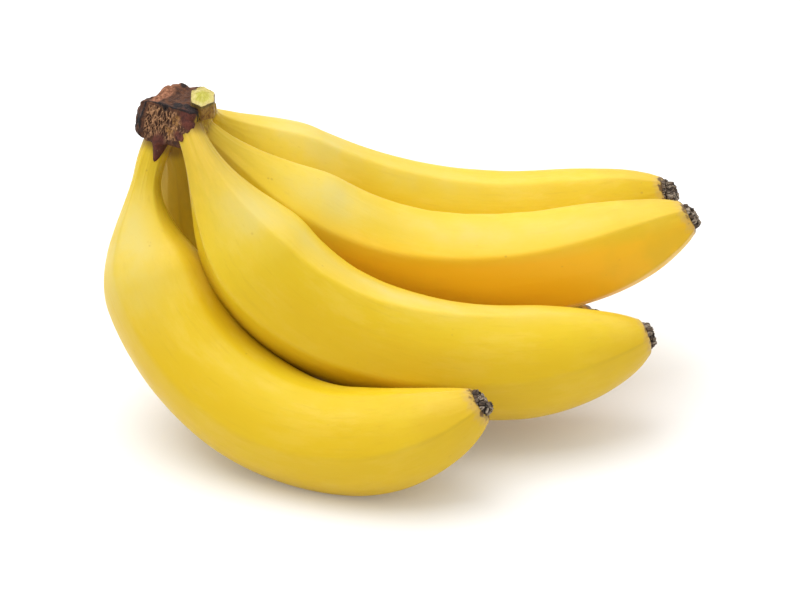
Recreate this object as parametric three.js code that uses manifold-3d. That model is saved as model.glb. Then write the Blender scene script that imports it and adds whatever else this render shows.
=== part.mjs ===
// Bunch of bananas: five fingers grown onto one woody crown, lying on their outer curves.
// Millimetres, +Z up. The origin is on the ground, under the middle of the bunch.
import * as THREE from "three";
import { mergeVertices } from "three/addons/utils/BufferGeometryUtils.js";
import Module from "manifold-3d";

// Driving dimensions of the fingers, in millimetres and degrees.
// A finger is placed by the middle of its centreline. From there the centreline bends towards
// its inner curve, by tipBend on the way to the tip and by rootBend on the way to the root.
// The neck has a further bend of its own and a sideways sway, and it starts to widen at neckEnd.
// Heading turns the finger about +Z from +X, climb lifts it above the ground and lean rolls it.
// Ridge is the angle of the first of its five ridges from the inner curve, at the root and the tip.
const FINGERS = [
  {
    name: "front",
    middle: [-64.9, -37.1, 28.3],
    heading: -34.5,
    climb: -24,
    lean: -28.5,
    tipBend: 71,
    rootBend: 69,
    neckBend: 16.5,
    neckSway: -13,
    length: 213.5,
    girth: 20,
    neckEnd: 14,
    ridge: [36, 40],
  },
  {
    name: "second",
    middle: [-12.3, -26.5, 44.3],
    heading: 0.5,
    climb: -19.5,
    lean: -22.5,
    tipBend: 38,
    rootBend: 66.5,
    neckBend: -13,
    neckSway: 33,
    length: 216.5,
    girth: 21.6,
    neckEnd: 2,
    ridge: [76, 22],
  },
  {
    name: "third",
    middle: [8.8, 17.4, 55.2],
    heading: 2.5,
    climb: -9,
    lean: -4,
    tipBend: 39,
    rootBend: 54.5,
    neckBend: -19,
    neckSway: 1,
    length: 212.5,
    girth: 19.3,
    neckEnd: 3,
    ridge: [82, 44],
  },
  {
    name: "back",
    middle: [1.7, 62.1, 59.1],
    heading: 5,
    climb: -14,
    lean: 25.5,
    tipBend: 45.5,
    rootBend: 40.5,
    neckBend: 32,
    neckSway: -35,
    length: 214.5,
    girth: 19.6,
    neckEnd: 6,
    ridge: [0, 0],
  },
  {
    name: "under",
    middle: [-35.1, 36.1, 20.6],
    heading: -2.5,
    climb: -5.5,
    lean: 14,
    tipBend: 18,
    rootBend: 118,
    neckBend: -38.5,
    neckSway: 2.5,
    length: 225,
    girth: 18.5,
    neckEnd: 5,
    ridge: [10, 10],
  },
];

// What all fingers share
const NECK_RADIUS = 5.2;
const SHOULDER = 59; // along the finger, where the neck has reached the full girth
const NECK_LENGTH = 50; // the stretch that takes the neck's own bend and sway
const NECK_IN_CROWN = 7; // how far the neck goes on inside the crown
const GIRTH_TAPER = 0.08; // share of its girth that the body loses from root to tip
const TIP_RADIUS = 5;
const TIP_LENGTH = 52; // the stretch that narrows to the tip
const TIP_FULLNESS = 0.62; // under 1 gives a blunter tip
const FACETS = 5;
const FLATNESS = 0.35; // 0 is a round section, 1 a pentagon with soft corners
const RIDGE_SHARPNESS = 0.97; // 1 is a sharp ridge
const PENTAGON_MEAN = 0.88; // mean radius of a pentagon whose corners lie at 1

// The blossom end on each tip
const BLOSSOM_LENGTH = 3.8;
const BLOSSOM_RADII = [4.9, 5.4, 5, 3.6];

// The crown and the cut pedicel are chunks: a centre, and faces that each have an outward
// direction and a distance from the centre, with rounded edges between them.
const CROWN = {
  centre: [-86.5, 14.9, 117],
  roundness: 9,
  faces: [
    { out: [-1, -0.1, 0.2], away: 12.6 },
    { out: [1, 0, 0.2], away: 12.5 },
    { out: [-0.6, -0.75, 0.3], away: 10.5 }, // dried cut face
    { out: [0.3, -0.95, 0.1], away: 19 },
    { out: [0.75, -0.66, 0], away: 17 },
    { out: [0, 0, 1], away: 8 },
    { out: [-0.5, 0.2, 0.8], away: 8.5 },
    { out: [0.1, 1, 0.1], away: 16 },
    { out: [0, 0, -1], away: 7 },
  ],
};

// The crown's dried tail over the front neck: its direction, its length, and its width in degrees
const DRIP = { towards: [-0.36, -0.7, -0.74], length: 8.5, width: 10.5 };

const CUT_PEDICEL = {
  centre: [-75.3, 7.1, 124],
  roundness: 16,
  faces: [
    { out: [0.05, -0.48, 0.88], away: 5 }, // fresh cut face
    { out: [-0.05, 0.2, -0.98], away: 4.6 },
    { out: [1, 0.05, -0.05], away: 4.9 },
    { out: [0.5, 0.8, 0.4], away: 4.6 },
    { out: [-0.5, 0.8, 0.4], away: 4.4 },
    { out: [-1, -0.05, 0.05], away: 5 },
    { out: [-0.5, -0.8, -0.4], away: 4.6 },
    { out: [0.5, -0.8, -0.4], away: 4.6 },
  ],
};

// Neighbouring pieces keep this gap
const GAP = 0.3;

// Fineness of the surfaces
const CENTRELINE_STEPS = 208; // even, so that the middle is a step
const RINGS = 30;
const SIDES = 20;
const BLOSSOM_SIDES = 15;
const CROWN_DETAIL = 8;
const PEDICEL_DETAIL = 5;

const X_AXIS = new THREE.Vector3(1, 0, 0);
const Y_AXIS = new THREE.Vector3(0, 1, 0);
const Z_AXIS = new THREE.Vector3(0, 0, 1);
const radians = THREE.MathUtils.degToRad;

// Frames along a finger from root to tip: a point, the direction along the finger, the inner
// direction, which points to the inside of the curve, and the side direction square to both.
function centreline(finger) {
  const half = CENTRELINE_STEPS / 2;
  const step = finger.length / CENTRELINE_STEPS;
  const along = X_AXIS.clone()
    .applyAxisAngle(Y_AXIS, -radians(finger.climb))
    .applyAxisAngle(Z_AXIS, radians(finger.heading));
  const inner = Z_AXIS.clone()
    .addScaledVector(along, -along.z)
    .normalize()
    .applyAxisAngle(along, radians(finger.lean));
  const middle = {
    point: new THREE.Vector3(...finger.middle),
    along,
    inner,
    side: along.clone().cross(inner),
  };

  // The next frame one step on, after a bend towards the inner curve and a sway sideways
  function stepFrom(frame, distance, bend, sway) {
    const along = frame.along.clone().applyAxisAngle(frame.side, bend);
    const inner = frame.inner.clone().applyAxisAngle(frame.side, bend);
    along.applyAxisAngle(inner, sway);
    const side = frame.side.clone().applyAxisAngle(inner, sway);
    const chord = frame.along.clone().add(along).normalize();
    const point = frame.point.clone().addScaledVector(chord, distance);
    return { point, along, inner, side };
  }

  const frames = [];
  frames[half] = middle;
  const tipBend = radians(finger.tipBend) / half;
  for (let i = half + 1; i <= CENTRELINE_STEPS; i++) {
    frames[i] = stepFrom(frames[i - 1], step, tipBend, 0);
  }
  const rootBend = radians(finger.rootBend) / half;
  for (let i = half - 1; i >= 0; i--) {
    const fromRoot = (i + 0.5) * step;
    const neckShare = (Math.max(0, 1 - fromRoot / NECK_LENGTH) * 2 * step) / NECK_LENGTH;
    const bend = rootBend + radians(finger.neckBend) * neckShare;
    const sway = radians(finger.neckSway) * neckShare;
    frames[i] = stepFrom(frames[i + 1], -step, -bend, -sway);
  }
  return frames;
}

// Radius of the peel at a distance from the root. The blossom end takes up the rest of the length.
function radiusAt(finger, distance) {
  const widening = THREE.MathUtils.smoothstep(distance, finger.neckEnd, SHOULDER);
  const girth = finger.girth * (1 + GIRTH_TAPER * (0.5 - distance / finger.length));
  const body = NECK_RADIUS + (girth - NECK_RADIUS) * widening;
  const fromTip = THREE.MathUtils.clamp((finger.length - BLOSSOM_LENGTH - distance) / TIP_LENGTH, 0, 1);
  const fullness = Math.sin((Math.PI / 2) * fromTip) ** TIP_FULLNESS;
  return THREE.MathUtils.lerp(TIP_RADIUS, body, fullness);
}

// A soft pentagon: over 1 at the ridges, less on the facets between them, and 1 on average
function ridged(angle) {
  const wave = Math.asin(RIDGE_SHARPNESS * Math.cos(FACETS * angle)) / Math.asin(RIDGE_SHARPNESS);
  const halfFacet = Math.PI / FACETS;
  const offFacet = (halfFacet * (1 + wave)) / 2;
  const pentagon = Math.cos(halfFacet) / Math.cos(offFacet);
  return 1 + FLATNESS * (pentagon - PENTAGON_MEAN);
}

// A closed skin over rings of points, with a flat fan at each end
function skinOver(rings) {
  const sides = rings[0].length;
  const positions = [];
  const triangles = [];
  for (const ring of rings) {
    for (const point of ring) positions.push(point.x, point.y, point.z);
  }
  for (let i = 0; i < rings.length - 1; i++) {
    for (let j = 0; j < sides; j++) {
      const a = i * sides + j;
      const b = i * sides + ((j + 1) % sides);
      triangles.push(a, b, a + sides, b, b + sides, a + sides);
    }
  }
  for (const [ring, first, turn] of [
    [rings[0], 0, -1],
    [rings[rings.length - 1], (rings.length - 1) * sides, 1],
  ]) {
    const centre = ring.reduce((sum, p) => sum.add(p), new THREE.Vector3()).divideScalar(sides);
    const middle = positions.length / 3;
    positions.push(centre.x, centre.y, centre.z);
    for (let j = 0; j < sides; j++) {
      const next = first + ((j + 1) % sides);
      triangles.push(middle, ...(turn > 0 ? [first + j, next] : [next, first + j]));
    }
  }
  const skin = new THREE.BufferGeometry();
  skin.setAttribute("position", new THREE.Float32BufferAttribute(positions, 3));
  skin.setIndex(triangles);
  return skin;
}

// One ring round a frame, moved by ahead along the finger, with a radius for each angle
function ringAround(frame, ahead, sides, radiusFor) {
  const centre = frame.point.clone().addScaledVector(frame.along, ahead);
  return Array.from({ length: sides }, (_, j) => {
    const angle = (2 * Math.PI * j) / sides;
    const radius = radiusFor(angle);
    return centre
      .clone()
      .addScaledVector(frame.inner, radius * Math.cos(angle))
      .addScaledVector(frame.side, radius * Math.sin(angle));
  });
}

// The last frame of the peel, where the blossom end begins
function peelEnd(finger) {
  return Math.round((1 - BLOSSOM_LENGTH / finger.length) * CENTRELINE_STEPS);
}

// Skin of one finger, swollen by the same amount all over. The rings lie closer together at the
// neck and the tip.
function fingerSkin(finger, frames, swell) {
  const rings = [];
  function addRing(index, ahead, radius) {
    const ridge = radians(THREE.MathUtils.lerp(...finger.ridge, index / CENTRELINE_STEPS));
    const radiusFor = (angle) => radius * ridged(angle - ridge) + swell;
    rings.push(ringAround(frames[index], ahead, SIDES, radiusFor));
  }
  addRing(0, -NECK_IN_CROWN, NECK_RADIUS);
  for (let i = 0; i <= RINGS; i++) {
    const even = i / RINGS;
    const eased = even - Math.sin(2 * Math.PI * even) / (4 * Math.PI);
    const index = Math.round(eased * peelEnd(finger));
    addRing(index, 0, radiusAt(finger, (index / CENTRELINE_STEPS) * finger.length));
  }
  return skinOver(rings);
}

// Dried remnant of the flower on the tip
function blossomSkin(finger, frames) {
  const step = BLOSSOM_LENGTH / (BLOSSOM_RADII.length - 1);
  const rings = BLOSSOM_RADII.map((radius, i) =>
    ringAround(frames[peelEnd(finger)], GAP + step * i, BLOSSOM_SIDES, () => radius),
  );
  return skinOver(rings);
}

// A rounded chunk: along each direction the surface lies where a soft blend of its faces puts it
function chunkSkin(chunk, detail, swell, bulgeAlong = () => 0) {
  const faces = chunk.faces.map(({ out, away }) => {
    return { out: new THREE.Vector3(...out).normalize(), away };
  });
  const ball = new THREE.IcosahedronGeometry(1, detail).deleteAttribute("normal").deleteAttribute("uv");
  const skin = mergeVertices(ball);
  const position = skin.getAttribute("position");
  const direction = new THREE.Vector3();
  for (let i = 0; i < position.count; i++) {
    direction.fromBufferAttribute(position, i).normalize();
    const blend = faces.reduce(
      (sum, face) => sum + Math.max(0, face.out.dot(direction) / face.away) ** chunk.roundness,
      0,
    );
    const reach = blend ** (-1 / chunk.roundness) + bulgeAlong(direction) + swell;
    position.setXYZ(i, direction.x * reach, direction.y * reach, direction.z * reach);
  }
  return skin.translate(...chunk.centre);
}

// How much further the crown reaches in its dried tail
function dripAlong(direction) {
  const towards = new THREE.Vector3(...DRIP.towards).normalize();
  const off = THREE.MathUtils.radToDeg(direction.angleTo(towards)) / DRIP.width;
  return DRIP.length * Math.exp(-off * off);
}

const wasm = await Module();
wasm.setup();

// A closed skin as a solid for cutting
function solidOf(skin) {
  const merged = mergeVertices(skin);
  return new wasm.Manifold(
    new wasm.Mesh({
      numProp: 3,
      vertProperties: merged.getAttribute("position").array,
      triVerts: new Uint32Array(merged.index.array),
    }),
  );
}

// The skin of a solid
function skinOf(solid) {
  const { vertProperties, triVerts } = solid.getMesh();
  const skin = new THREE.BufferGeometry();
  skin.setAttribute("position", new THREE.BufferAttribute(vertProperties, 3));
  skin.setIndex(new THREE.BufferAttribute(triVerts, 1));
  return skin;
}

// Look of each kind of piece: colour and roughness
const CORK = { color: 0x5a3420, roughness: 0.9 };
const FRESH_CUT = { color: 0xc9c24a, roughness: 0.6 };
const PEEL = { color: 0xe6b81e, roughness: 0.5 };
const DRIED_TIP = { color: 0x3a2c20, roughness: 0.9 };

const bunch = new THREE.Group();

function addPiece(name, geometry, look) {
  const material = new THREE.MeshStandardMaterial({ ...look, metalness: 0 });
  const mesh = new THREE.Mesh(geometry, material);
  mesh.name = name;
  bunch.add(mesh);
}

// Each piece makes room for the ones before it. Fingers that press on each other get a shallow
// flat where they meet.
addPiece("crown", chunkSkin(CROWN, CROWN_DETAIL, 0, dripAlong), CORK);
let taken = solidOf(chunkSkin(CROWN, CROWN_DETAIL, GAP, dripAlong));

const pedicel = solidOf(chunkSkin(CUT_PEDICEL, PEDICEL_DETAIL, 0)).subtract(taken);
addPiece("cut_pedicel", skinOf(pedicel), FRESH_CUT);
taken = taken.add(solidOf(chunkSkin(CUT_PEDICEL, PEDICEL_DETAIL, GAP)));

for (const finger of FINGERS) {
  const frames = centreline(finger);
  const body = solidOf(fingerSkin(finger, frames, 0)).subtract(taken);
  addPiece(`finger_${finger.name}`, skinOf(body), PEEL);
  addPiece(`blossom_end_${finger.name}`, blossomSkin(finger, frames), DRIED_TIP);
  taken = taken.add(solidOf(fingerSkin(finger, frames, GAP)));
}

// The dimensions above put the origin on the ground under the middle of the bunch to within a
// fraction of a millimetre. This takes up the rest.
const box = new THREE.Box3().setFromObject(bunch, true);
const middle = box.getCenter(new THREE.Vector3());
for (const piece of bunch.children) piece.position.set(-middle.x, -middle.y, -box.min.z);

export default bunch;
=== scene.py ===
import math

import bmesh
import bpy
import numpy as np
from mathutils import Matrix, Vector, noise


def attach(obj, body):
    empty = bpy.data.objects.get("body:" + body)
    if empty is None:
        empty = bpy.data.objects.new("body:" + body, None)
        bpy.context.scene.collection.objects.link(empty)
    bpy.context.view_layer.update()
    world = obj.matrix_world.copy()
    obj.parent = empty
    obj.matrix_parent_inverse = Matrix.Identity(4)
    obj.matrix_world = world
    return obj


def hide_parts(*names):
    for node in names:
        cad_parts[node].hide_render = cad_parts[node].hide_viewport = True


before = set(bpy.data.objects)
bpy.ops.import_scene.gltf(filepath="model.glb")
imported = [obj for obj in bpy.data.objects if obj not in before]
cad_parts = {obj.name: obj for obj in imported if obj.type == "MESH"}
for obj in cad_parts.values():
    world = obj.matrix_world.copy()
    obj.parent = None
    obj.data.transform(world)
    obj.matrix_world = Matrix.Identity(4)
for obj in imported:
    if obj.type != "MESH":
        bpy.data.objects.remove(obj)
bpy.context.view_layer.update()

# A bunch of five bananas on one woody crown. Each piece of the CAD part is built again here, with
# finer relief. Lengths are millimetres until a mesh is made, and angles are degrees until used.
MM = 0.001
X_AXIS = Vector((1, 0, 0))
Y_AXIS = Vector((0, 1, 0))
Z_AXIS = Vector((0, 0, 1))
CENTRING = Vector((-0.07, 0.02, -0.37))  # moves everything onto the origin, as in the CAD part

# The fingers. Their places, bends and sizes are those of the CAD part:
# middle is the middle of the centreline, and heading, climb and lean turn the finger there.
# tip_bend and root_bend are how far it bends on the way to its tip and root, and neck_bend and
# neck_sway bend the neck further and sideways. neck_end is where the neck starts to widen.
# length is measured along the centreline, and girth is the radius of the body.
# ridge is the angle of one ridge from the inner curve, at the root and at the tip.
# The rest is only in this script:
# flats is how far the section goes from round to a pentagon, at the root, in the middle and at
# the tip, and crisp is how sharp its ridges are. thin_root narrows the neck at the crown.
# The blossom end is taller on one half, by step, towards the angle step_at.
# outer_bounce_or_shade is painted light on the outer side: orange painted bounce light, or below
# zero a deeper yellow painted shade. neck_shade is how olive the neck is, and dark_tip is how many
# times further than usual the tip's colours reach. pale, bounce_patches and hollow are soft oval
# patches: distance from the root, angle from the inner curve, spread along, spread round and
# strength. pale is a painted highlight, and bounce_patches add painted bounce light. A hollow
# one's strength is its depth, or below zero its height.
FINGERS = [
    dict(
        name="front", middle=(-64.9, -37.1, 28.3), heading=-34.5, climb=-24, lean=-28.5,
        tip_bend=71, root_bend=69, neck_bend=16.5, neck_sway=-13, neck_end=14,
        length=213.5, girth=20, ridge=(36, 40), flats=(0.5, 0.28, 0.4), crisp=0.975,
        thin_root=0, step=0.9, step_at=170, outer_bounce_or_shade=-0.45, neck_shade=0.2, dark_tip=1.2,
        pale=[(42, 92, 24, 42, 1.0)],
        bounce_patches=[],
        hollow=[(62, 25, 32, 38, -2.2), (114, 10, 26, 38, -1.4)],
    ),
    dict(
        name="second", middle=(-12.3, -26.5, 44.3), heading=0.5, climb=-19.5, lean=-22.5,
        tip_bend=38, root_bend=66.5, neck_bend=-13, neck_sway=33, neck_end=2,
        length=216.5, girth=21.6, ridge=(76, 22), flats=(0.7, 0.6, 0.15), crisp=0.99,
        thin_root=0, step=0.5, step_at=60, outer_bounce_or_shade=-0.5, neck_shade=1.0, dark_tip=1.2,
        pale=[(36, 62, 15, 50, 0.9), (110, 24, 68, 21, 1.0)],
        bounce_patches=[],
        hollow=[(44, 176, 25, 48, 4.2)],
    ),
    dict(
        name="third", middle=(8.8, 17.4, 55.2), heading=2.5, climb=-9, lean=-4,
        tip_bend=39, root_bend=54.5, neck_bend=-19, neck_sway=1, neck_end=3,
        length=212.5, girth=19.3, ridge=(82, 44), flats=(0.6, 0.75, 0.65), crisp=0.993,
        thin_root=0, step=0.8, step_at=200, outer_bounce_or_shade=1.0, neck_shade=0.8, dark_tip=1.4,
        pale=[(52, 30, 20, 34, 0.8), (125, 24, 75, 24, 0.75)],
        bounce_patches=[(150, 86, 60, 36, 0.8)],
        hollow=[],
    ),
    dict(
        name="back", middle=(1.7, 62.1, 59.1), heading=5, climb=-14, lean=25.5,
        tip_bend=45.5, root_bend=40.5, neck_bend=32, neck_sway=-35, neck_end=6,
        length=214.5, girth=19.6, ridge=(0, 0), flats=(0.45, 0.4, 0.4), crisp=0.975,
        thin_root=0.22, step=1.2, step_at=180, outer_bounce_or_shade=0.1, neck_shade=0.6, dark_tip=1.2,
        pale=[(48, -12, 28, 42, 0.9), (110, 0, 50, 26, 0.5)],
        bounce_patches=[],
        hollow=[(195, 0, 12, 60, -1.1)],
    ),
    dict(
        name="under", middle=(-35.1, 36.1, 20.6), heading=-2.5, climb=-5.5, lean=14,
        tip_bend=18, root_bend=118, neck_bend=-38.5, neck_sway=2.5, neck_end=5,
        length=225, girth=18.5, ridge=(10, 10), flats=(0.45, 0.45, 0.45), crisp=0.98,
        thin_root=0, step=0.8, step_at=0, outer_bounce_or_shade=0.6, neck_shade=1.0, dark_tip=6.0,
        pale=[(60, 40, 25, 45, 0.6)],
        bounce_patches=[],
        hollow=[],
    ),
]
NECK_RADIUS = 5.2
SHOULDER = 59  # distance from the root at which the body has its full radius
NECK_LENGTH = 50  # stretch over which the neck's own bend and sway act
NECK_IN_CROWN = 7
GIRTH_TAPER = 0.08
TIP_RADIUS = 5
TIP_LENGTH = 52
TIP_FULLNESS = 0.62  # below 1 makes the tip blunter
RIDGES = 5
FLATS_BETWEEN = (0.1, 0.9)  # shares of the length between which flats change
PENTAGON_MEAN = 0.88  # keeps the body's mean radius when the section goes to a pentagon
BLOSSOM_LENGTH = 3.8
STEPS = 416
RINGS = 300
SIDES = 140

# Fine relief, tints and painted bounce light or shade of the peel. A fade is full up to its first
# distance and gone at its second.
SWELLS = [(34, 0.45, X_AXIS), (13, 0.12, Y_AXIS)]  # size, height, axis that the seed moves along
FULL_SWELL_RADIUS = 12
NECK_STRANDS = dict(height=0.12, stretch=26, density=3.2, fade=(8, 48))
TIP_FLUTES = dict(height=0.14, stretch=14, density=3.6, fade=(1, 14))
TIP_LIP = dict(height=0.35, from_tip=0.9, width=0.8)
THIN_ROOT_FADE = (4, 22)
OLIVE_FADE = (9, 44)
# The outer side, round the section and along the finger, where painted bounce light or shade lies
OUTER_SIDE = (-0.75, 0.15)  # from -1 on the inner curve to 1 on the outer one
OUTER_START = (40, 80)
CREASE_SHARPNESS = 2.6
SEED_STEP = 11.3

# The blossom end: a wall that leans inwards, and a lumpy top parted by dark grooves
BLOSSOM_SIDES = 150
WALL_RINGS = 46
TOP_RINGS = 50
BLOSSOM_RADIUS = 5.1
BLOSSOM_UNEVEN = dict(share=0.09, waves=1.3)
BLOSSOM_HEIGHT = 2.0
STEP_HEIGHT = 0.8
STEP_SLOPE = 1.6
STEP_UNEVEN = dict(size=2.4, share=0.5)
STEP_EDGE = 0.14
WALL_FOOT = -1.0  # the wall starts inside the peel
WALL_FOOT_WIDTH = 1.02
WALL_LEAN = 0.20
WALL_LEAN_HEIGHTS = (0.2, 3.4)
TOP_RIM = (0.72, 1.0)  # share of the radius at which the rim starts and ends
TOP_SINK = 0.35
TOP_RIM_RISE = 0.1
RIM_SPREAD = 0.8
LUMP_WIDTH = 1.9
LUMP_LENGTH = 3.2
LUMP_HEIGHT = 0.75
LUMP_MIDDLE_TONE = 0.45
TONE_SCATTER = 3.7
GROOVE_DEPTH = 0.75
GROOVE_WIDTH = 0.22
BLOSSOM_STRANDS = dict(round=5, along=3.6, on_top=1.1, height=0.22)
RELIEF_START = (-0.6, 0.5)  # heights over the peel's end between which the relief sets in

# The crown and the cut pedicel: faces with an outward direction and a distance, blended softly
CHUNK_SUBDIVISIONS = 7
CROWN = dict(
    centre=(-86.5, 14.9, 117),
    roundness=9,
    faces=dict(
        left=((-1, -0.1, 0.2), 12.6),
        right=((1, 0, 0.2), 12.5),
        cut=((-0.6, -0.75, 0.3), 10.5),
        front=((0.3, -0.95, 0.1), 19),
        front_right=((0.75, -0.66, 0), 17),
        top=((0, 0, 1), 8),
        top_left=((-0.3, 0.42, 0.86), 8.6),
        back=((0.1, 1, 0.1), 16),
        bottom=((0, 0, -1), 7),
    ),
)
PEDICEL = dict(
    centre=(-75.0, 7.1, 124),
    roundness=11,
    faces=dict(
        cut=((0.05, -0.48, 0.88), 5),
        root=((-0.05, 0.2, -0.98), 4.6),
        right=((1, 0.05, -0.05), 4.6),
        back_right=((0.5, 0.8, 0.4), 4.6),
        back_left=((-0.5, 0.8, 0.4), 4.4),
        left=((-1, -0.05, 0.05), 4.5),
        front_left=((-0.5, -0.8, -0.4), 4.6),
        front_right=((0.5, -0.8, -0.4), 4.6),
    ),
)

# Places on the crown, each a direction from its centre and a width in degrees
BLACK_SPOTS = [
    ((-0.16, -0.81, 0.57), 9), ((0.20, -0.76, 0.62), 10), ((0.44, -0.76, 0.48), 10),
    ((-0.98, 0.11, -0.14), 16), ((0.10, 0.82, 0.56), 12), ((-0.25, 0.80, 0.55), 11),
    ((0.30, 0.55, 0.78), 8),
]
MAROON_SPOTS = [
    ((0.36, -0.87, 0.35), 10), ((0.34, -0.92, 0.21), 9), ((0.42, -0.90, 0.11), 7),
    ((-0.35, -0.84, -0.41), 14), ((0.17, -0.98, -0.08), 8),
]
OCHRE_SPOTS = [((-0.02, -1.0, -0.04), 10), ((0.14, -0.96, 0.23), 8)]
ORANGE_SPOTS = [((-0.34, 0.28, 0.90), 28), ((0.04, 0.78, 0.62), 30), ((-0.54, -0.17, 0.83), 22)]
FIBRES = [((-0.47, -0.85, 0.24), 32), ((-0.75, -0.6, 0.1), 28), ((-0.12, -0.97, 0.12), 22)]
RIGHT_BULGES = [
    ((0.42, -0.86, 0.33), 9), ((0.38, -0.91, 0.17), 8), ((0.30, -0.95, 0.06), 9),
    ((0.18, -0.98, -0.02), 8),
]
CORNERS = [
    ((0.44, -0.895, 0.06), 5), ((0.22, -0.97, -0.10), 4), ((-0.88, -0.42, -0.30), 5),
    ((-0.12, -0.94, 0.32), 13), ((-0.05, -0.97, 0.19), 11),
]
LOBE = [((-0.22, 0.55, 0.80), 16), ((0.02, 0.58, 0.81), 17), ((0.22, 0.62, 0.75), 15)]
RIM_END = [((-0.90, 0.10, 0.42), 9)]
HOLLOWS = [((0.86, -0.49, -0.14), 17), ((0.76, -0.63, 0.10), 9)]
CROWN_HUMPS = [(RIGHT_BULGES, 3.0), (CORNERS, 1.6), (LOBE, 3.5), (RIM_END, 1.1), (HOLLOWS, -3.0)]
DRIP = dict(towards=(-0.36, -0.7, -0.74), length=8.5, width=10.5, keel=1.8, keel_width=4.5)

# The crown's relief. Edges are shares: above 0 a spot lies on the cut face, below 0 beside it.
EDGE_WANDER = dict(size=3.5, share=0.05)
RIM = dict(edge=0.03, width=0.07, height=0.5, black=0.9)
CUT_EDGE = (0.05, 0.22)  # the cut face's look sets in between these
CUT_DEPTH = 0.9
FIBRE_GAIN = 1.5
MAROON_DRIP_GAIN = 1.6
CUT_ACROSS = Vector((0.78, -0.62, 0.0)).normalized()
CUT_UP = Vector((-0.19, -0.24, 0.95)).normalized()
# Two sets of fibres that cross. Each has its waves per millimetre across the fibres and along
# them, for both directions of the cut face, and a layer of the noise.
WEAVES = [((0.85, 0.30), (-0.10, 0.26), 3.0), ((0.75, -0.42), (0.10, 0.30), 9.0)]
WEAVE_HEIGHT = 0.85
WEAVE_MIDDLE = 0.35
FOLD_WIDTH = 5.5
FOLD_LENGTH = 9
FOLD_HEIGHT = 0.9
FOLD_MIDDLE = 0.55
CORK_GRAIN = [(1.9, 0.35), (0.9, 0.175)]  # size, height
CROWN_UNEVEN = dict(size=6, height=0.9, layer=5)
RIGHT_SKIN = (0.75, 0.95)  # nearness to the right face from which skin starts and is full
FRONT_SKIN = (0.86, 0.98)  # the same for the face at the front right

# The stub's relief
STUB_CUT_EDGE = (0.0, 0.12)  # the cut's relief sets in between these
STUB_CUT_DEPTH = 0.30
STUB_RIM = dict(edge=0.02, width=0.05, height=0.22)
STUB_RAYS = dict(density=4, length=6, height=0.16)
STUB_GRAIN = dict(size=1.6, height=0.10)
STUB_FURROWS = dict(width=3, length=7, height=0.30)


def rotated(vector, axis, angle):
    return Matrix.Rotation(angle, 3, axis) @ vector


def lerp(a, b, t):
    return a + (b - a) * t


def smoothstep(x, low, high):
    t = min(max((x - low) / (high - low), 0.0), 1.0)
    return t * t * (3 - 2 * t)


def fade(distance, full_until, gone_from):
    """1 up to a distance, and 0 from a further one on."""
    return 1 - smoothstep(distance, full_until, gone_from)


def bell(off, width):
    """A soft hump: 1 in its middle, and nearly 0 at twice its width."""
    return math.exp(-((off / width) ** 2))


def creases(spot):
    """Noise with sharp crests: 1 on a crest, about 0 away from it."""
    return 1 - min(1.0, abs(noise.noise(spot)) * CREASE_SHARPNESS)


def step_from(place, distance, bend, sway):
    """The next frame on a centreline, bent about the side and swayed about the inner direction."""
    point, along, inner, side = place
    new_inner = rotated(inner, side, bend)
    new_along = rotated(rotated(along, side, bend), new_inner, sway)
    new_side = rotated(side, new_inner, sway)
    return (point + (along + new_along).normalized() * distance, new_along, new_inner, new_side)


def centreline(finger):
    """Frames from root to tip: point, along, inner, side."""
    half = STEPS // 2
    step = finger["length"] / STEPS
    climbing = rotated(X_AXIS, Y_AXIS, -math.radians(finger["climb"]))
    along = rotated(climbing, Z_AXIS, math.radians(finger["heading"]))
    inner = rotated((Z_AXIS - along * along.z).normalized(), along, math.radians(finger["lean"]))
    frames = {half: (Vector(finger["middle"]) + CENTRING, along, inner, along.cross(inner))}
    for i in range(half + 1, STEPS + 1):
        frames[i] = step_from(frames[i - 1], step, math.radians(finger["tip_bend"]) / half, 0)
    for i in range(half - 1, -1, -1):
        share = max(0, 1 - (i + 0.5) * step / NECK_LENGTH) * 2 * step / NECK_LENGTH
        bend = math.radians(finger["root_bend"]) / half + math.radians(finger["neck_bend"]) * share
        frames[i] = step_from(frames[i + 1], -step, -bend, -math.radians(finger["neck_sway"]) * share)
    return [frames[i] for i in range(STEPS + 1)]


def frame_at(finger, frames, distance):
    """The frame at a distance from the root, between the two nearest ones."""
    exact = distance / finger["length"] * STEPS
    i = min(int(exact), STEPS - 1)
    return [before.lerp(after, exact - i) for before, after in zip(frames[i], frames[i + 1])]


def radius_at(finger, distance):
    """Mean radius: a thin neck, a nearly even body and a rounded tip."""
    widening = smoothstep(distance, finger["neck_end"], SHOULDER)
    girth = finger["girth"] * (1 + GIRTH_TAPER * (0.5 - distance / finger["length"]))
    body = lerp(NECK_RADIUS, girth, widening)
    from_tip = min(max((finger["length"] - BLOSSOM_LENGTH - distance) / TIP_LENGTH, 0), 1)
    return lerp(TIP_RADIUS, body, math.sin(math.pi / 2 * from_tip) ** TIP_FULLNESS)


def section(angle, flat, crisp):
    """Soft pentagon: its factor on the radius, and how near the angle is to a ridge."""
    wave = math.asin(crisp * math.cos(RIDGES * angle)) / math.asin(crisp)
    half_side = math.pi / RIDGES
    pentagon = math.cos(half_side) / math.cos(half_side * (1 + wave) / 2)
    return 1 + flat * (pentagon - PENTAGON_MEAN), (1 + wave) / 2


def three_way(values, t):
    """Blend of three values: at the root, in the middle and at the tip."""
    root, middle, tip = values
    start, end = FLATS_BETWEEN
    if t < 0.5:
        return lerp(root, middle, smoothstep(t, start, 0.5))
    return lerp(middle, tip, smoothstep(t, 0.5, end))


def smooth_object(name, mesh):
    mesh.polygons.foreach_set("use_smooth", [True] * len(mesh.polygons))
    obj = bpy.data.objects.new(name, mesh)
    bpy.context.scene.collection.objects.link(obj)
    return obj


def new_object(name, vertices, faces):
    mesh = bpy.data.meshes.new(name)
    mesh.from_pydata([tuple(v) for v in vertices], [], faces)
    mesh.update()
    return smooth_object(name, mesh)


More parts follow.
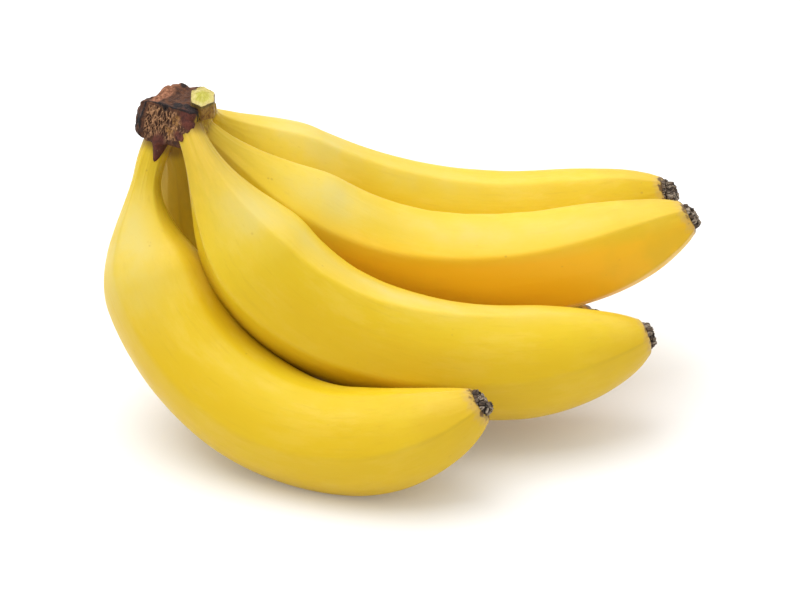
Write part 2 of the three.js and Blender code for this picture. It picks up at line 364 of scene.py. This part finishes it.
def set_vectors(obj, **layers):
    """Gives each vertex a vector under each name, for the materials to read."""
    for name, values in layers.items():
        layer = obj.data.attributes.new(name, "FLOAT_VECTOR", "POINT")
        layer.data.foreach_set("vector", np.asarray(values, dtype=np.float32).ravel())


def ring_faces(rings, sides):
    faces = []
    for i in range(rings - 1):
        for j in range(sides):
            a = i * sides + j
            b = i * sides + (j + 1) % sides
            faces.append((a, b, b + sides, a + sides))
    return faces


def patches(spots, distance, angle):
    """Sum of several soft oval patches on the peel."""
    share = 0.0
    for from_root, towards, along, around, strength in spots:
        off = math.remainder(math.degrees(angle) - towards, 360)
        share += strength * bell(distance - from_root, along) * bell(off, around)
    return share


def ripples(kind, across, distance, seed):
    """Lengthwise creases that fade out with the distance from one end."""
    around = across * kind["density"]
    crest = creases(Vector((distance / kind["stretch"], around.y, around.z + seed)))
    return kind["height"] * fade(distance, *kind["fade"]) * (crest - 0.5)


def ring_places(peel_length):
    """Where a finger's rings are: how far before the root, and the distance from the root."""
    places = [(-NECK_IN_CROWN, 0.0)]
    for i in range(RINGS + 1):
        even = i / RINGS
        closer_at_ends = even - math.sin(2 * math.pi * even) / (4 * math.pi)
        places.append((0.0, closer_at_ends * peel_length))
    return places


def peel_tints(finger, distance, angle):
    """Shares of painted highlight, of painted bounce light or below zero painted shade, and of olive."""
    outer = smoothstep(-math.cos(angle), *OUTER_SIDE) * smoothstep(distance, *OUTER_START)
    bounce_or_shade = outer * finger["outer_bounce_or_shade"] + patches(finger["bounce_patches"], distance, angle)
    olive = fade(distance, *OLIVE_FADE) * finger["neck_shade"]
    return patches(finger["pale"], distance, angle), bounce_or_shade, olive


def finger_object(finger, frames, seed):
    peel_length = finger["length"] - BLOSSOM_LENGTH
    vertices, grown, ends, tints = [], [], [], []
    places = ring_places(peel_length)
    for ahead, distance in places:
        point, along, inner, side = frame_at(finger, frames, distance)
        point = point + along * ahead
        from_tip = peel_length - distance
        flat = three_way(finger["flats"], distance / finger["length"])
        ridge = math.radians(lerp(*finger["ridge"], distance / finger["length"]))
        radius = radius_at(finger, distance) * (1 - finger["thin_root"] * fade(distance, *THIN_ROOT_FADE))
        swell_share = min(1, radius / FULL_SWELL_RADIUS)
        lip = TIP_LIP["height"] * bell(from_tip - TIP_LIP["from_tip"], TIP_LIP["width"])
        for j in range(SIDES):
            angle = 2 * math.pi * j / SIDES
            factor, ridge_near = section(angle - ridge, flat, finger["crisp"])
            across = Vector((0, math.cos(angle), math.sin(angle)))
            reach = radius * factor
            spot = Vector((distance + ahead, 0, 0)) + across * reach
            swell = sum(noise.noise(spot / size + axis * seed) * height for size, height, axis in SWELLS)
            reach += swell * swell_share - patches(finger["hollow"], distance, angle)
            reach += ripples(NECK_STRANDS, across, distance, seed)
            reach += ripples(TIP_FLUTES, across, from_tip, -seed) + lip
            vertices.append((point + inner * (reach * across.y) + side * (reach * across.z)) * MM)
            grown.append(spot * MM)
            ends.append((distance * MM, from_tip / finger["dark_tip"] * MM, ridge_near))
            tints.append(peel_tints(finger, distance, angle))
    faces = ring_faces(len(places), SIDES)
    last = (len(places) - 1) * SIDES
    faces.append(tuple(range(SIDES - 1, -1, -1)))
    faces.append(tuple(range(last, last + SIDES)))
    obj = new_object("peel_" + finger["name"], vertices, faces)
    set_vectors(obj, grown=grown, ends=ends, tints=tints)
    return obj


def blossom_height(finger, flat_spot, share, angle, seed):
    """Height of the blossom end over the peel's end, taller on one half."""
    uneven = noise.noise(flat_spot / STEP_UNEVEN["size"] + Z_AXIS * seed)
    taller = math.cos(angle - math.radians(finger["step_at"])) * share * STEP_SLOPE
    taller += STEP_UNEVEN["share"] * uneven
    up_or_down = 2 * smoothstep(taller, -STEP_EDGE, STEP_EDGE) - 1
    return BLOSSOM_HEIGHT + STEP_HEIGHT * finger["step"] * up_or_down


def blossom_width(height):
    """Width of the blossom end at a height, as a share of its reach."""
    return WALL_FOOT_WIDTH - WALL_LEAN * smoothstep(height, *WALL_LEAN_HEIGHTS)


def lumps(spot, seed):
    """Tone of the lump that a spot is on, and how near it is to the groove beside it."""
    place = Vector((spot.x / LUMP_WIDTH, spot.y / LUMP_WIDTH, spot.z / LUMP_LENGTH + seed))
    near, cells = noise.voronoi(place)
    tone = 0.5 + 0.5 * noise.noise(cells[0] * TONE_SCATTER + X_AXIS * seed)
    return tone, fade(near[1] - near[0], 0.0, GROOVE_WIDTH)


def blossom_object(finger, frames, seed):
    """Dried flower remnant: a ragged wall and a lumpy top, as rings from the peel to the middle."""
    point, along, inner, side = frame_at(finger, frames, finger["length"] - BLOSSOM_LENGTH)
    vertices, grown, zones = [], [], []
    rings = WALL_RINGS + TOP_RINGS
    for i in range(rings):
        on_wall = i < WALL_RINGS
        share = 1.0 if on_wall else 1 - (i - WALL_RINGS + 1) / TOP_RINGS
        for j in range(BLOSSOM_SIDES):
            angle = 2 * math.pi * j / BLOSSOM_SIDES
            across = Vector((math.cos(angle), math.sin(angle), 0))
            uneven = noise.noise(across * BLOSSOM_UNEVEN["waves"] + Z_AXIS * seed)
            reach = BLOSSOM_RADIUS * (1 + BLOSSOM_UNEVEN["share"] * uneven)
            flat_spot = across * (reach * share)
            height = blossom_height(finger, flat_spot, share, angle, seed)
            if on_wall:
                rise = lerp(WALL_FOOT, height, i / (WALL_RINGS - 1))
                spot = across * (reach * blossom_width(rise)) + Z_AXIS * rise
                out = across
                around = angle * BLOSSOM_STRANDS["round"]
                strand = creases(Vector((around, spot.z / BLOSSOM_STRANDS["along"], seed)))
            else:
                rim = smoothstep(share, *TOP_RIM)
                rise = height - TOP_SINK * (1 - rim) + TOP_RIM_RISE * rim
                spot = flat_spot * blossom_width(height) + Z_AXIS * rise
                out = (Z_AXIS + across * (RIM_SPREAD * rim)).normalized()
                strand = creases(spot / BLOSSOM_STRANDS["on_top"])
            tone, groove = lumps(spot, seed)
            relief = LUMP_HEIGHT * (tone - LUMP_MIDDLE_TONE) - GROOVE_DEPTH * groove
            relief += BLOSSOM_STRANDS["height"] * strand
            spot = spot + out * (relief * smoothstep(spot.z, *RELIEF_START))
            vertices.append((point + inner * spot.x + side * spot.y + along * spot.z) * MM)
            grown.append(spot * MM)
            zones.append((tone, groove, strand))
    centre = len(vertices)
    vertices.append((point + along * BLOSSOM_HEIGHT) * MM)
    grown.append(Z_AXIS * BLOSSOM_HEIGHT * MM)
    dark_groove = (0.3, 1, 0)
    zones.append(dark_groove)
    faces = ring_faces(rings, BLOSSOM_SIDES)
    last = (rings - 1) * BLOSSOM_SIDES
    faces += [(last + j, last + (j + 1) % BLOSSOM_SIDES, centre) for j in range(BLOSSOM_SIDES)]
    faces.append(tuple(range(BLOSSOM_SIDES - 1, -1, -1)))
    obj = new_object("blossom_" + finger["name"], vertices, faces)
    set_vectors(obj, grown=grown, zones=zones)
    return obj


def chunk_object(name, chunk, shape):
    """A dense ball pushed out to the chunk's faces. Shape gives each point's relief and zones."""
    ball = bmesh.new()
    bmesh.ops.create_icosphere(ball, subdivisions=CHUNK_SUBDIVISIONS, radius=1)
    faces = {face: (Vector(out).normalized(), away) for face, (out, away) in chunk["faces"].items()}
    power = chunk["roundness"]
    centre = Vector(chunk["centre"]) + CENTRING
    grown, zones, extra = [], [], []
    for vertex in ball.verts:
        direction = vertex.co.normalized()
        near = {face: max(0.0, out.dot(direction) / away) for face, (out, away) in faces.items()}
        blend = sum(share ** power for share in near.values()) ** (1 / power)
        near = {face: share / blend for face, share in near.items()}
        relief, zone, more = shape(direction, direction / blend, near)
        spot = direction * (1 / blend + relief)
        vertex.co = (centre + spot) * MM
        grown.append(spot * MM)
        zones.append(zone)
        extra.append(more)
    mesh = bpy.data.meshes.new(name)
    ball.to_mesh(mesh)
    ball.free()
    obj = smooth_object(name, mesh)
    set_vectors(obj, grown=grown, zones=zones, extra=extra)
    return obj


def degrees_off(direction, towards):
    return math.degrees(direction.angle(Vector(towards)))


def glow(direction, spots):
    """Strongest of several soft round spots, each a direction and a width in degrees."""
    return max(bell(degrees_off(direction, towards), width) for towards, width in spots)


def crown_shape(direction, spot, near):
    """The crown's relief, then its fibres, black and orange, then its maroon, ochre and detail.

    Ochre below zero is skin. Detail is how high a spot is in the weave or in the folds.
    """
    edge = max(near["cut"], near["front"])
    edge -= max(near["left"], near["right"], near["top"], near["top_left"])
    edge += EDGE_WANDER["share"] * noise.noise(spot / EDGE_WANDER["size"])
    rim = bell(edge - RIM["edge"], RIM["width"])
    inside = smoothstep(edge, *CUT_EDGE)
    fibres = inside * min(1, glow(direction, FIBRES) * FIBRE_GAIN)
    off_drip = degrees_off(direction, DRIP["towards"])
    drip = bell(off_drip, DRIP["width"])

    black = glow(direction, BLACK_SPOTS)
    maroon = max(glow(direction, MAROON_SPOTS), min(1, drip * MAROON_DRIP_GAIN))
    orange = glow(direction, ORANGE_SPOTS) * (1 - inside)
    skin = max(smoothstep(near["right"], *RIGHT_SKIN), smoothstep(near["front_right"], *FRONT_SKIN))
    skin *= 1 - max(black, maroon)
    ochre = glow(direction, OCHRE_SPOTS) - skin

    u = spot.dot(CUT_ACROSS)
    v = spot.dot(CUT_UP)
    weave = max(
        creases(Vector((u * across_u + v * across_v, u * along_u + v * along_v, layer)))
        for (across_u, across_v), (along_u, along_v), layer in WEAVES
    ) ** 2
    folds = creases(Vector((spot.x / FOLD_WIDTH, spot.y / FOLD_WIDTH, spot.z / FOLD_LENGTH)))
    rough = FOLD_HEIGHT * (folds - FOLD_MIDDLE)
    rough += sum(noise.noise(spot / size) * height for size, height in CORK_GRAIN)

    relief = DRIP["length"] * drip + DRIP["keel"] * bell(off_drip, DRIP["keel_width"])
    relief += RIM["height"] * rim - CUT_DEPTH * fibres
    relief += fibres * WEAVE_HEIGHT * (weave - WEAVE_MIDDLE) + (1 - fibres) * rough
    relief += sum(height * glow(direction, spots) for spots, height in CROWN_HUMPS)
    uneven = noise.noise(spot / CROWN_UNEVEN["size"] + X_AXIS * CROWN_UNEVEN["layer"])
    relief += CROWN_UNEVEN["height"] * uneven
    detail = weave if fibres > 0.5 else folds
    return relief, (fibres, max(black, rim * RIM["black"]), orange), (maroon, ochre, detail)


def pedicel_shape(direction, spot, near):
    """The stub's relief, and its edge, rays and nearness to the cut. It has no further zones."""
    on_face = near["cut"]
    edge = on_face - max(share for face, share in near.items() if face != "cut")
    inside = smoothstep(edge, *STUB_CUT_EDGE)
    rim = bell(edge - STUB_RIM["edge"], STUB_RIM["width"])
    angle = math.atan2(spot.y, spot.x)
    around = Vector((math.cos(angle), math.sin(angle), 0)) * STUB_RAYS["density"]
    rays = creases(around + Z_AXIS * (spot.length / STUB_RAYS["length"]))
    across = STUB_FURROWS["width"]
    furrows = creases(Vector((spot.x / across, spot.y / across, spot.z / STUB_FURROWS["length"])))
    relief = STUB_RIM["height"] * rim - STUB_CUT_DEPTH * inside
    relief += inside * STUB_RAYS["height"] * (rays - 0.5)
    relief += (1 - inside) * STUB_FURROWS["height"] * (furrows - 0.5)
    relief += STUB_GRAIN["height"] * noise.noise(spot / STUB_GRAIN["size"])
    return relief, (edge, rays, on_face), (0, 0, 0)


# Places of the Mix node's sockets for colours: it has others for numbers and vectors
MIX_SHARE, MIX_A, MIX_B, MIX_OUT = 0, 6, 7, 2


class Nodes:
    """A material's node tree, with short ways to add and link nodes. Noise has its waves per metre."""

    def __init__(self, name):
        self.material = bpy.data.materials.new(name)
        self.material.use_nodes = True
        self.tree = self.material.node_tree
        self.tree.nodes.clear()
        out = self.tree.nodes.new("ShaderNodeOutputMaterial")
        self.shader = self.tree.nodes.new("ShaderNodeBsdfPrincipled")
        self.put(out.inputs["Surface"], self.shader.outputs[0])

    def put(self, socket, value):
        """Links a node's output to the socket, or sets the socket's own value."""
        if isinstance(value, bpy.types.NodeSocket):
            self.tree.links.new(value, socket)
        elif socket.type == "RGBA":
            socket.default_value = (*value, 1.0)
        else:
            socket.default_value = value

    def node(self, kind, inputs, **settings):
        """A new node. Inputs are named sockets, or their places where names are not unique."""
        node = self.tree.nodes.new(kind)
        for name, value in settings.items():
            setattr(node, name, value)
        for name, value in inputs.items():
            self.put(node.inputs[name], value)
        return node

    def surface(self, inputs):
        """Fills in the shader and gives the finished material."""
        for name, value in inputs.items():
            self.put(self.shader.inputs[name], value)
        return self.material

    def attribute(self, name):
        return self.node("ShaderNodeAttribute", {}, attribute_name=name).outputs["Vector"]

    def parts(self, name):
        """The three numbers of an attribute."""
        return self.node("ShaderNodeSeparateXYZ", {0: self.attribute(name)}).outputs[0:3]

    def stretched(self, vector, scale, shift=(0, 0, 0)):
        inputs = {"Vector": vector, "Scale": scale, "Location": shift}
        return self.node("ShaderNodeMapping", inputs).outputs[0]

    def noise(self, vector, waves, detail, roughness=0.5, distortion=0.0):
        inputs = {
            "Vector": vector, "Scale": waves, "Detail": detail, "Roughness": roughness,
            "Distortion": distortion,
        }
        return self.node("ShaderNodeTexNoise", inputs).outputs["Fac"]

    def grain(self, vector, waves, detail, roughness=0.5, distortion=0.0, shift=(0, 0, 0)):
        """Noise with other waves per metre along each axis."""
        return self.noise(self.stretched(vector, waves, shift), 1.0, detail, roughness, distortion)

    def cells(self, vector, waves):
        """Distance to the middle of the nearest cell."""
        inputs = {"Vector": vector, "Scale": waves}
        return self.node("ShaderNodeTexVoronoi", inputs).outputs["Distance"]

    def ramp(self, value, low, high, to_low=0.0, to_high=1.0):
        """Smooth step from to_low to to_high as the value rises from low to high."""
        inputs = {"Value": value, "From Min": low, "From Max": high, "To Min": to_low, "To Max": to_high}
        node = self.node("ShaderNodeMapRange", inputs, interpolation_type="SMOOTHSTEP")
        return node.outputs["Result"]

    def math(self, kind, a, b):
        return self.node("ShaderNodeMath", {0: a, 1: b}, operation=kind).outputs[0]

    def times(self, a, b):
        return self.math("MULTIPLY", a, b)

    def mix(self, share, a, b):
        inputs = {MIX_SHARE: share, MIX_A: a, MIX_B: b}
        return self.node("ShaderNodeMix", inputs, data_type="RGBA").outputs[MIX_OUT]

    def two_tone(self, value, low, high, low_colour, high_colour):
        """Goes over from one colour to the other as the value rises from low to high."""
        return self.mix(self.ramp(value, low, high), low_colour, high_colour)

    def where_high(self, base, colour, value, start, full, share=1.0):
        """The base with a share of a colour where the value is high."""
        return self.mix(self.ramp(value, start, full, 0.0, share), base, colour)

    def where_low(self, base, colour, value, full, end, share=1.0):
        """The base with a share of a colour where the value is low."""
        return self.mix(self.ramp(value, full, end, share, 0.0), base, colour)

    def bump(self, height, strength, distance, below=None):
        """Bump for the shader's normal, on top of another one where that is given."""
        inputs = {"Strength": strength, "Distance": distance, "Height": height}
        if below is not None:
            inputs["Normal"] = below
        return self.node("ShaderNodeBump", inputs).outputs[0]


# Every colour is linear red, green and blue.
# orange is painted bounce light, the deeper yellow after it painted shade, and pale a painted highlight.
PEEL_COLOURS = dict(
    yellow=(0.73, 0.525, 0.017), second_yellow=(0.71, 0.490, 0.013), streak=(0.70, 0.53, 0.035),
    light=(0.77, 0.555, 0.060), strong=(0.66, 0.455, 0.006), hairline=(0.58, 0.385, 0.018),
    orange=(0.84, 0.448, 0.014), underside_shade=(0.63, 0.390, 0.012), pale=(0.655, 0.535, 0.15),
    olive=(0.60, 0.405, 0.040), dark_olive=(0.51, 0.350, 0.034), tip=(0.63, 0.405, 0.018),
    seam=(0.46, 0.31, 0.035), fleck=(0.55, 0.33, 0.03), tan=(0.50, 0.32, 0.12),
    ring=(0.13, 0.068, 0.030), root=(0.20, 0.10, 0.03), speck=(0.35, 0.17, 0.03),
)


def peel_material():
    """Yellow peel: clouds, streaks, the olive neck and painted highlight, bounce light and shade,
    then the marks at the ends and specks.
    """
    look = Nodes("banana_peel")
    colours = PEEL_COLOURS
    grown = look.attribute("grown")
    from_root, from_tip, ridge = look.parts("ends")
    pale, bounce_or_shade, green = look.parts("tints")
    clouds = look.noise(grown, waves=20, detail=2)
    streaks = look.grain(grown, waves=(16, 230, 230), detail=4, roughness=0.6)
    mottle = look.grain(grown, waves=(32, 95, 95), detail=5, roughness=0.68, shift=(3, 8, 5))
    hairlines = look.grain(grown, waves=(45, 620, 620), detail=3, roughness=0.6, shift=(1, 4, 9))
    base = look.two_tone(clouds, 0.35, 0.65, colours["yellow"], colours["second_yellow"])
    base = look.where_high(base, colours["streak"], streaks, 0.45, 0.78, share=0.22)
    base = look.where_high(base, colours["light"], mottle, 0.46, 0.66, share=0.55)
    base = look.where_low(base, colours["strong"], mottle, 0.30, 0.46, share=0.35)
    base = look.where_high(base, colours["hairline"], hairlines, 0.54, 0.74, share=0.28)

    # Painted light on the outer side: orange painted bounce light, or below zero deeper painted shade
    base = look.mix(bounce_or_shade, base, colours["orange"])
    base = look.mix(look.times(bounce_or_shade, -1.0), base, colours["underside_shade"])
    # Painted highlight: paler, creamier peel where the pale patches lie, broken up by noise
    sheen_breakup = look.ramp(look.noise(grown, waves=55, detail=4, roughness=0.55), 0.30, 0.70, 0.45, 1.0)
    base = look.mix(look.times(pale, sheen_breakup), base, colours["pale"])
    olive = look.two_tone(streaks, 0.35, 0.65, colours["olive"], colours["dark_olive"])
    base = look.mix(look.times(green, 0.9), base, olive)

    uneven_tip = look.ramp(look.noise(grown, waves=90, detail=2), 0.3, 0.7, -6 * MM, 6 * MM)
    uneven_from_tip = look.math("ADD", from_tip, uneven_tip)
    base = look.where_low(base, colours["tip"], uneven_from_tip, 2 * MM, 30 * MM, share=0.6)
    near_root = look.ramp(from_root, 10 * MM, 60 * MM, 1.0, 0.0)
    near_tip = look.ramp(from_tip, 0.0, 50 * MM, 1.0, 0.0)
    seam = look.times(look.ramp(ridge, 0.92, 1.0, 0.0, 0.22), look.math("MAXIMUM", near_root, near_tip))
    base = look.mix(seam, base, colours["seam"])
    flecks = look.grain(grown, waves=(70, 420, 420), detail=3, roughness=0.7, shift=(7, 3, 1))
    base = look.where_high(base, colours["fleck"], flecks, 0.64, 0.80, share=0.26)

    fray = look.grain(grown, waves=(160, 500, 500), detail=3)
    ragged = look.ramp(fray, 0.3, 0.7, -0.6 * MM, 0.6 * MM)
    ragged_from_tip = look.math("ADD", from_tip, ragged)
    base = look.where_low(base, colours["tan"], ragged_from_tip, 0.4 * MM, 3 * MM, share=0.55)
    base = look.where_low(base, colours["ring"], ragged_from_tip, 0.0, 0.8 * MM, share=0.92)
    ragged_from_root = look.math("ADD", from_root, ragged)
    base = look.where_low(base, colours["root"], ragged_from_root, 1 * MM, 6 * MM, share=0.7)
    cells = look.cells(look.stretched(grown, scale=(0.7, 1, 1)), waves=300)
    dots = look.ramp(cells, 0.08, 0.18, 1.0, 0.0)
    rare = look.ramp(look.noise(grown, waves=150, detail=1), 0.64, 0.72)
    base = look.mix(look.times(look.times(dots, rare), 0.35), base, colours["speck"])

    pores = look.grain(grown, waves=(600, 1400, 1400), detail=3, roughness=0.6)
    fine = look.bump(pores, strength=0.10, distance=0.4 * MM)
    return look.surface({
        "Base Color": base,
        "Roughness": look.ramp(look.noise(grown, waves=130, detail=3), 0.3, 0.7, 0.36, 0.46),
        "Subsurface Weight": 0.15,
        "Subsurface Radius": (1.0, 0.55, 0.12),
        "Subsurface Scale": 2.5 * MM,
        "Specular IOR Level": 0.25,
        "Specular Tint": (1.0, 0.92, 0.70),
        "Normal": look.bump(streaks, strength=0.22, distance=0.6 * MM, below=fine),
    })


CORK_COLOURS = dict(
    brown=(0.115, 0.046, 0.022), dark_brown=(0.045, 0.019, 0.012),
    fibre_gap=(0.050, 0.020, 0.010), fibre=(0.50, 0.26, 0.125),
    lobe_dark=(0.16, 0.055, 0.024), lobe=(0.44, 0.20, 0.11),
    ochre_dark=(0.10, 0.042, 0.015), ochre=(0.40, 0.20, 0.060),
    skin=(0.56, 0.39, 0.040), skin_dark=(0.36, 0.22, 0.030),
    maroon_dark=(0.040, 0.013, 0.013), maroon=(0.14, 0.038, 0.024),
    black=(0.010, 0.008, 0.009), hair=(0.36, 0.20, 0.11),
)


def cork_material():
    """Dried cork: brown, with woven fibres, an orange lobe, ochre, skin, maroon and black places."""
    look = Nodes("crown_cork")
    colours = CORK_COLOURS
    grown = look.attribute("grown")
    fibres, crust, orange = look.parts("zones")
    maroon, ochre, relief = look.parts("extra")
    blotch = look.noise(grown, waves=420, detail=4, roughness=0.65)
    grain = look.grain(grown, waves=(900, 900, 380), detail=4, roughness=0.7)
    hairs = look.grain(
        grown, waves=(1700, 1700, 300), detail=3, roughness=0.7, distortion=0.4, shift=(5, 1, 2)
    )
    base = look.two_tone(blotch, 0.35, 0.65, colours["brown"], colours["dark_brown"])
    fibre_tone = look.times(look.ramp(relief, 0.25, 0.95), look.ramp(grain, 0.30, 0.62))
    woven = look.mix(fibre_tone, colours["fibre_gap"], colours["fibre"])
    base = look.where_high(base, woven, fibres, 0.2, 0.75)
    lobe = look.two_tone(grain, 0.35, 0.68, colours["lobe_dark"], colours["lobe"])
    base = look.where_high(base, lobe, orange, 0.25, 0.75, share=0.9)
    ochre_tone = look.two_tone(grain, 0.35, 0.62, colours["ochre_dark"], colours["ochre"])
    blotchy_ochre = look.times(ochre, look.ramp(blotch, 0.3, 0.6))
    base = look.where_high(base, ochre_tone, blotchy_ochre, 0.15, 0.7, share=0.9)
    skin_tone = look.two_tone(hairs, 0.35, 0.6, colours["skin"], colours["skin_dark"])
    base = look.where_low(base, skin_tone, ochre, -0.75, -0.25, share=0.9)
    dark_red = look.two_tone(blotch, 0.3, 0.7, colours["maroon_dark"], colours["maroon"])
    base = look.where_high(base, dark_red, maroon, 0.25, 0.8, share=0.92)
    blotchy_crust = look.times(crust, look.ramp(blotch, 0.2, 0.5, 0.55, 1.0))
    base = look.where_high(base, colours["black"], blotchy_crust, 0.35, 0.75, share=0.93)
    base = look.where_high(base, colours["hair"], hairs, 0.62, 0.74, share=0.5)
    coarse = look.bump(grain, strength=0.55, distance=0.6 * MM)
    return look.surface({
        "Base Color": base,
        "Roughness": look.ramp(grain, 0.3, 0.7, 0.62, 0.92),
        "Specular IOR Level": 0.2,
        "Normal": look.bump(hairs, strength=0.45, distance=0.3 * MM, below=coarse),
    })


STUB_COLOURS = dict(
    centre=(0.47, 0.44, 0.035), centre_dark=(0.40, 0.36, 0.025),
    cream=(0.58, 0.50, 0.16), cream_dark=(0.48, 0.38, 0.09), ray=(0.62, 0.57, 0.18),
    olive_dark=(0.050, 0.042, 0.010), olive=(0.15, 0.12, 0.025),
    brown_dark=(0.15, 0.070, 0.025), brown=(0.36, 0.21, 0.05), skin_line=(0.16, 0.085, 0.03),
)


def pedicel_material():
    """Fresh cut: a green-yellow middle in a cream ring with a dark skin line, and brown sides."""
    look = Nodes("fresh_cut")
    colours = STUB_COLOURS
    grown = look.attribute("grown")
    edge, rays, on_face = look.parts("zones")
    blotch = look.noise(grown, waves=500, detail=3, roughness=0.6)
    grain = look.grain(grown, waves=(1100, 1100, 500), detail=4, roughness=0.65)
    waver = look.math("ADD", edge, look.ramp(blotch, 0.3, 0.7, -0.05, 0.05))
    centre = look.two_tone(blotch, 0.35, 0.65, colours["centre"], colours["centre_dark"])
    cream = look.two_tone(grain, 0.35, 0.65, colours["cream"], colours["cream_dark"])
    face = look.two_tone(waver, 0.22, 0.55, cream, centre)
    face = look.where_high(face, colours["ray"], rays, 0.55, 1.0, share=0.20)
    olive = look.two_tone(grain, 0.35, 0.65, colours["olive_dark"], colours["olive"])
    brown = look.two_tone(grain, 0.3, 0.7, colours["brown_dark"], colours["brown"])
    side = look.two_tone(on_face, 0.55, 0.95, brown, olive)
    base = look.two_tone(waver, -0.02, 0.05, side, face)
    skin_line = look.times(look.ramp(waver, -0.06, 0.0), look.ramp(waver, 0.02, 0.08, 1.0, 0.0))
    base = look.mix(look.times(skin_line, 0.75), base, colours["skin_line"])
    return look.surface({
        "Base Color": base,
        "Roughness": look.ramp(blotch, 0.3, 0.7, 0.38, 0.62),
        "Subsurface Weight": 0.15,
        "Subsurface Radius": (1.0, 0.8, 0.2),
        "Subsurface Scale": 1.5 * MM,
        "Normal": look.bump(grain, strength=0.35, distance=0.3 * MM),
    })


DRIED_COLOURS = dict(
    black=(0.030, 0.019, 0.013), brown=(0.120, 0.078, 0.048),
    grey_dark=(0.17, 0.125, 0.085), grey=(0.44, 0.36, 0.27), groove=(0.014, 0.009, 0.007),
)


def blossom_material():
    """Dried flower remnant: dark, with grey lumps and black grooves."""
    look = Nodes("dried_tip")
    colours = DRIED_COLOURS
    grown = look.attribute("grown")
    tone, groove, strand = look.parts("zones")
    grain = look.grain(grown, waves=(1500, 1500, 500), detail=4, roughness=0.7)
    blotch = look.noise(grown, waves=700, detail=3, roughness=0.6)
    dark = look.two_tone(blotch, 0.35, 0.65, colours["black"], colours["brown"])
    grey = look.two_tone(grain, 0.35, 0.65, colours["grey_dark"], colours["grey"])
    pale = look.times(look.ramp(tone, 0.36, 0.55), look.ramp(strand, 0.10, 0.70))
    base = look.mix(look.math("MAXIMUM", pale, look.ramp(grain, 0.60, 0.72, 0.0, 0.7)), dark, grey)
    base = look.where_high(base, colours["groove"], groove, 0.25, 0.9, share=0.95)
    return look.surface({
        "Base Color": base,
        "Roughness": look.ramp(blotch, 0.3, 0.7, 0.60, 0.90),
        "Specular IOR Level": 0.35,
        "Normal": look.bump(grain, strength=0.5, distance=0.4 * MM),
    })


def add_piece(obj, node, material):
    obj.data.materials.append(material)
    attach(obj, "root")
    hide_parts(node)


peel = peel_material()
dried = blossom_material()
for index, finger in enumerate(FINGERS):
    name = finger["name"]
    seed = SEED_STEP * (index + 1)
    frames = centreline(finger)
    add_piece(finger_object(finger, frames, seed), "finger_" + name, peel)
    add_piece(blossom_object(finger, frames, seed), "blossom_end_" + name, dried)
crown = chunk_object("cork_crown", CROWN, crown_shape)
add_piece(crown, "crown", cork_material())
stub = chunk_object("cut_stub", PEDICEL, pedicel_shape)
add_piece(stub, "cut_pedicel", pedicel_material())

# Studio: a white floor, white surroundings that are brighter overhead, and two soft lights.
# Its places and sizes are metres, and its powers watts.
FLOOR_REACH = 4  # from its middle to each side
FLOOR_GREY = 0.80
FLOOR_ROUGHNESS = 0.9
FLOOR_GLOW = 0.12
HORIZON_STRENGTH = 0.48
OVERHEAD_STRENGTH = 1.16
WHITE = (1.0, 1.0, 1.0)
LIGHT_TARGET = Vector((0, 0, 0.05))
LIGHTS = [
    dict(name="key", place=(-0.34, -0.1, 1.2), size=(1.0, 1.0), power=8.2),
    dict(name="back", place=(0.0, 0.75, 0.95), size=(1.6, 1.0), power=5.2),
]


def studio_floor():
    corners = [(x * FLOOR_REACH, y * FLOOR_REACH, 0) for x, y in [(-1, -1), (1, -1), (1, 1), (-1, 1)]]
    floor = new_object("floor", corners, [(0, 1, 2, 3)])
    floor.data.materials.append(Nodes("white_floor").surface({
        "Base Color": (FLOOR_GREY,) * 3,
        "Roughness": FLOOR_ROUGHNESS,
        "Emission Color": WHITE,
        "Emission Strength": FLOOR_GLOW,
    }))


def surroundings():
    world = bpy.data.worlds.new("studio")
    bpy.context.scene.world = world
    world.use_nodes = True
    tree = world.node_tree
    sky = tree.nodes["Background"]
    sky.inputs["Color"].default_value = (*WHITE, 1.0)
    towards = tree.nodes.new("ShaderNodeTexCoord")
    height = tree.nodes.new("ShaderNodeSeparateXYZ")
    strength = tree.nodes.new("ShaderNodeMapRange")
    strength.inputs["To Min"].default_value = HORIZON_STRENGTH
    strength.inputs["To Max"].default_value = OVERHEAD_STRENGTH
    tree.links.new(towards.outputs["Generated"], height.inputs[0])
    tree.links.new(height.outputs["Z"], strength.inputs["Value"])
    tree.links.new(strength.outputs["Result"], sky.inputs["Strength"])


def area_light(light):
    data = bpy.data.lights.new(light["name"], "AREA")
    data.shape = "RECTANGLE"
    data.size, data.size_y = light["size"]
    data.energy = light["power"]
    obj = bpy.data.objects.new(light["name"], data)
    obj.location = light["place"]
    obj.rotation_euler = (LIGHT_TARGET - Vector(light["place"])).to_track_quat("-Z", "Y").to_euler()
    bpy.context.scene.collection.objects.link(obj)


studio_floor()
surroundings()
for light in LIGHTS:
    area_light(light)

# Camera at the photo's viewing angle
ELEVATION = math.radians(24.6)
DISTANCE = 1100
TARGET = Vector((-2.5, 15.9, 45.0))
SENSOR_WIDTH = 36
PICTURE_WIDTH = 800
FOCAL_PIXELS = 2882
SHIFT_PIXELS = -10
NEAREST_SEEN = 10  # nearer things are cut off


def photo_camera():
    data = bpy.data.cameras.new("camera")
    data.sensor_width = SENSOR_WIDTH
    data.lens = FOCAL_PIXELS / PICTURE_WIDTH * SENSOR_WIDTH
    data.shift_y = SHIFT_PIXELS / PICTURE_WIDTH
    data.clip_start = NEAREST_SEEN * MM
    camera = bpy.data.objects.new("camera", data)
    bpy.context.scene.collection.objects.link(camera)
    back = Vector((0, -math.cos(ELEVATION), math.sin(ELEVATION)))
    camera.location = (TARGET + back * DISTANCE) * MM
    camera.rotation_euler = (math.pi / 2 - ELEVATION, 0, 0)
    return camera


bpy.context.scene.camera = photo_camera()
bpy.context.scene.view_settings.view_transform = "Standard"
